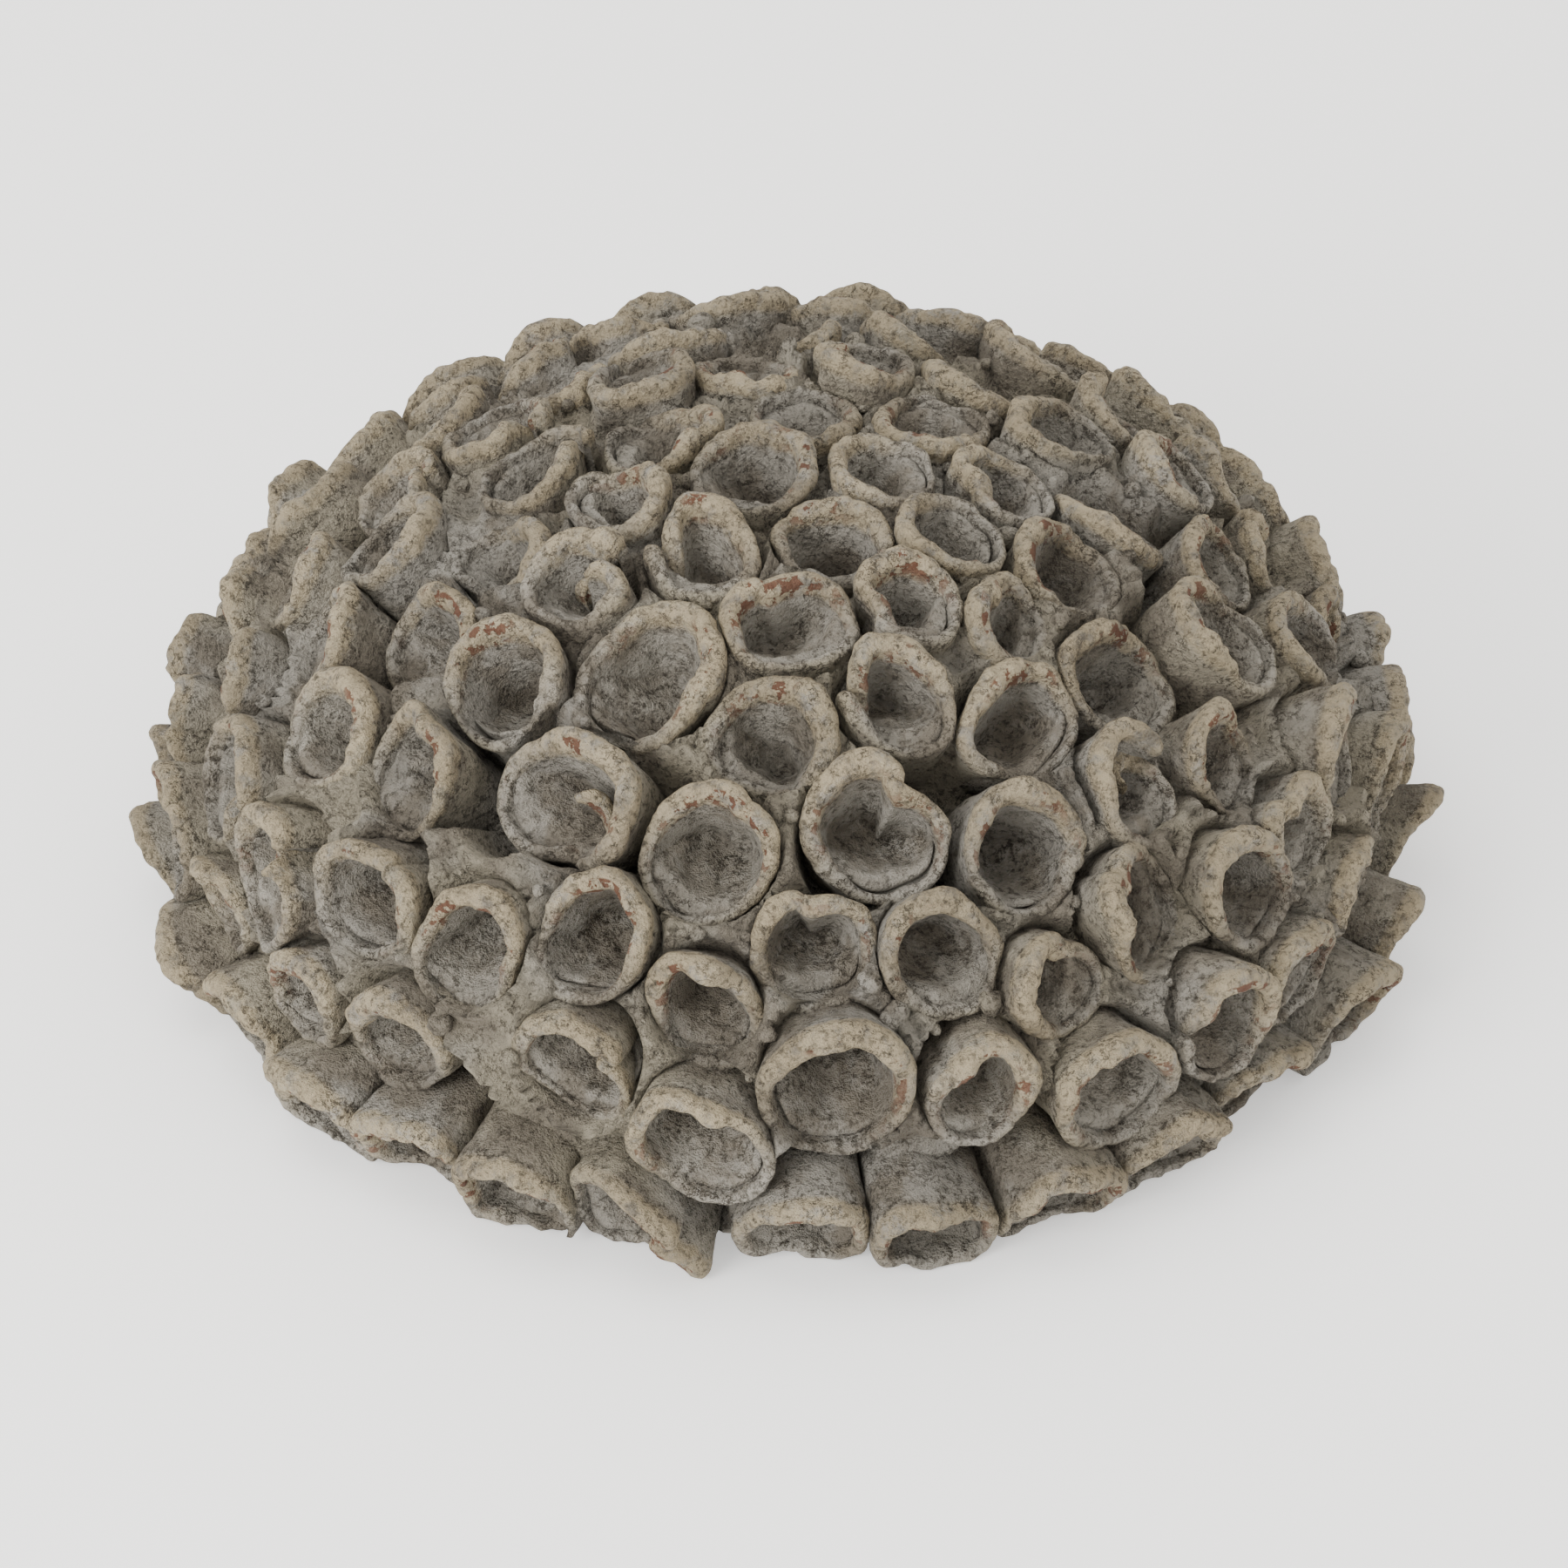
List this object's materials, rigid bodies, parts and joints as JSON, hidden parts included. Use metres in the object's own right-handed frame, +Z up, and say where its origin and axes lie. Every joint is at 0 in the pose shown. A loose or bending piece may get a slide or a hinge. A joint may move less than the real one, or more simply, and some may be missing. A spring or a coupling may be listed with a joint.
{
  "type": "flower frog",
  "caption": "Low hollow dome of fired clay covered all over with small rolled clay cups that hold flower stems upright and at a slant.",
  "frame": {"origin": "on the table under the middle of the dome", "axes": "+Z up through the crown, -Y the front, +X to the right seen from the front"},
  "size_m": [0.2506, 0.245, 0.0977],
  "materials": {
    "cup_row1_01": "matt fired clay under a worn wash of pale slip",
    "cup_row2_01": "matt fired clay under a worn wash of pale slip",
    "cup_row2_02": "matt fired clay under a worn wash of pale slip",
    "cup_row2_03": "matt fired clay under a worn wash of pale slip",
    "cup_row2_04": "matt fired clay under a worn wash of pale slip",
    "cup_row2_05": "matt fired clay under a worn wash of pale slip",
    "cup_row2_06": "matt fired clay under a worn wash of pale slip",
    "cup_row2_07": "matt fired clay under a worn wash of pale slip",
    "cup_row9_10": "matt fired clay under a worn wash of pale slip",
    "cup_row9_12": "matt fired clay under a worn wash of pale slip",
    "cups_row3_01": "matt fired clay under a worn wash of pale slip",
    "cups_row3_02": "matt fired clay under a worn wash of pale slip",
    "cups_row3_03": "matt fired clay under a worn wash of pale slip",
    "cups_row3_04": "matt fired clay under a worn wash of pale slip",
    "cups_row3_05": "matt fired clay under a worn wash of pale slip",
    "cups_row4_01": "matt fired clay under a worn wash of pale slip",
    "cups_row4_02": "matt fired clay under a worn wash of pale slip",
    "cups_row4_03": "matt fired clay under a worn wash of pale slip",
    "cups_row4_04": "matt fired clay under a worn wash of pale slip",
    "cups_row5_01": "matt fired clay under a worn wash of pale slip",
    "cups_row5_02": "matt fired clay under a worn wash of pale slip",
    "cups_row5_03": "matt fired clay under a worn wash of pale slip",
    "cups_row5_04": "matt fired clay under a worn wash of pale slip",
    "cups_row5_05": "matt fired clay under a worn wash of pale slip",
    "cups_row5_06": "matt fired clay under a worn wash of pale slip",
    "cups_row5_07": "matt fired clay under a worn wash of pale slip",
    "cups_row5_08": "matt fired clay under a worn wash of pale slip",
    "cups_row6_01": "matt fired clay under a worn wash of pale slip",
    "cups_row6_02": "matt fired clay under a worn wash of pale slip",
    "cups_row6_03": "matt fired clay under a worn wash of pale slip",
    "cups_row6_04": "matt fired clay under a worn wash of pale slip",
    "cups_row6_05": "matt fired clay under a worn wash of pale slip",
    "cups_row6_06": "matt fired clay under a worn wash of pale slip",
    "cups_row7_01": "matt fired clay under a worn wash of pale slip",
    "cups_row7_02": "matt fired clay under a worn wash of pale slip",
    "cups_row7_03": "matt fired clay under a worn wash of pale slip",
    "cups_row7_04": "matt fired clay under a worn wash of pale slip",
    "cups_row7_05": "matt fired clay under a worn wash of pale slip",
    "cups_row7_06": "matt fired clay under a worn wash of pale slip",
    "cups_row7_07": "matt fired clay under a worn wash of pale slip",
    "cups_row8_01": "matt fired clay under a worn wash of pale slip",
    "cups_row8_02": "matt fired clay under a worn wash of pale slip",
    "cups_row8_03": "matt fired clay under a worn wash of pale slip",
    "cups_row8_04": "matt fired clay under a worn wash of pale slip",
    "cups_row8_05": "matt fired clay under a worn wash of pale slip",
    "cups_row8_06": "matt fired clay under a worn wash of pale slip",
    "cups_row8_07": "matt fired clay under a worn wash of pale slip",
    "cups_row9_01": "matt fired clay under a worn wash of pale slip",
    "cups_row9_02": "matt fired clay under a worn wash of pale slip",
    "cups_row9_03": "matt fired clay under a worn wash of pale slip",
    "cups_row9_04": "matt fired clay under a worn wash of pale slip",
    "cups_row9_05": "matt fired clay under a worn wash of pale slip",
    "cups_row9_06": "matt fired clay under a worn wash of pale slip",
    "cups_row9_07": "matt fired clay under a worn wash of pale slip",
    "cups_row9_08": "matt fired clay under a worn wash of pale slip",
    "cups_row9_09": "matt fired clay under a worn wash of pale slip",
    "cups_row9_11": "matt fired clay under a worn wash of pale slip",
    "dome_body": "matt fired clay under a worn wash of pale slip"
  },
  "bodies": {
    "root": {"cup_row1_01": "cup_row1_01", "cup_row2_01": "cup_row2_01", "cup_row2_02": "cup_row2_02", "cup_row2_03": "cup_row2_03", "cup_row2_04": "cup_row2_04", "cup_row2_05": "cup_row2_05", "cup_row2_06": "cup_row2_06", "cup_row2_07": "cup_row2_07", "cup_row9_10": "cup_row9_10", "cup_row9_12": "cup_row9_12", "cups_row3_01": "cups_row3_01", "cups_row3_02": "cups_row3_02", "cups_row3_03": "cups_row3_03", "cups_row3_04": "cups_row3_04", "cups_row3_05": "cups_row3_05", "cups_row4_01": "cups_row4_01", "cups_row4_02": "cups_row4_02", "cups_row4_03": "cups_row4_03", "cups_row4_04": "cups_row4_04", "cups_row5_01": "cups_row5_01", "cups_row5_02": "cups_row5_02", "cups_row5_03": "cups_row5_03", "cups_row5_04": "cups_row5_04", "cups_row5_05": "cups_row5_05", "cups_row5_06": "cups_row5_06", "cups_row5_07": "cups_row5_07", "cups_row5_08": "cups_row5_08", "cups_row6_01": "cups_row6_01", "cups_row6_02": "cups_row6_02", "cups_row6_03": "cups_row6_03", "cups_row6_04": "cups_row6_04", "cups_row6_05": "cups_row6_05", "cups_row6_06": "cups_row6_06", "cups_row7_01": "cups_row7_01", "cups_row7_02": "cups_row7_02", "cups_row7_03": "cups_row7_03", "cups_row7_04": "cups_row7_04", "cups_row7_05": "cups_row7_05", "cups_row7_06": "cups_row7_06", "cups_row7_07": "cups_row7_07", "cups_row8_01": "cups_row8_01", "cups_row8_02": "cups_row8_02", "cups_row8_03": "cups_row8_03", "cups_row8_04": "cups_row8_04", "cups_row8_05": "cups_row8_05", "cups_row8_06": "cups_row8_06", "cups_row8_07": "cups_row8_07", "cups_row9_01": "cups_row9_01", "cups_row9_02": "cups_row9_02", "cups_row9_03": "cups_row9_03", "cups_row9_04": "cups_row9_04", "cups_row9_05": "cups_row9_05", "cups_row9_06": "cups_row9_06", "cups_row9_07": "cups_row9_07", "cups_row9_08": "cups_row9_08", "cups_row9_09": "cups_row9_09", "cups_row9_11": "cups_row9_11", "dome_body": "dome_body"}
  },
  "joints": []
}
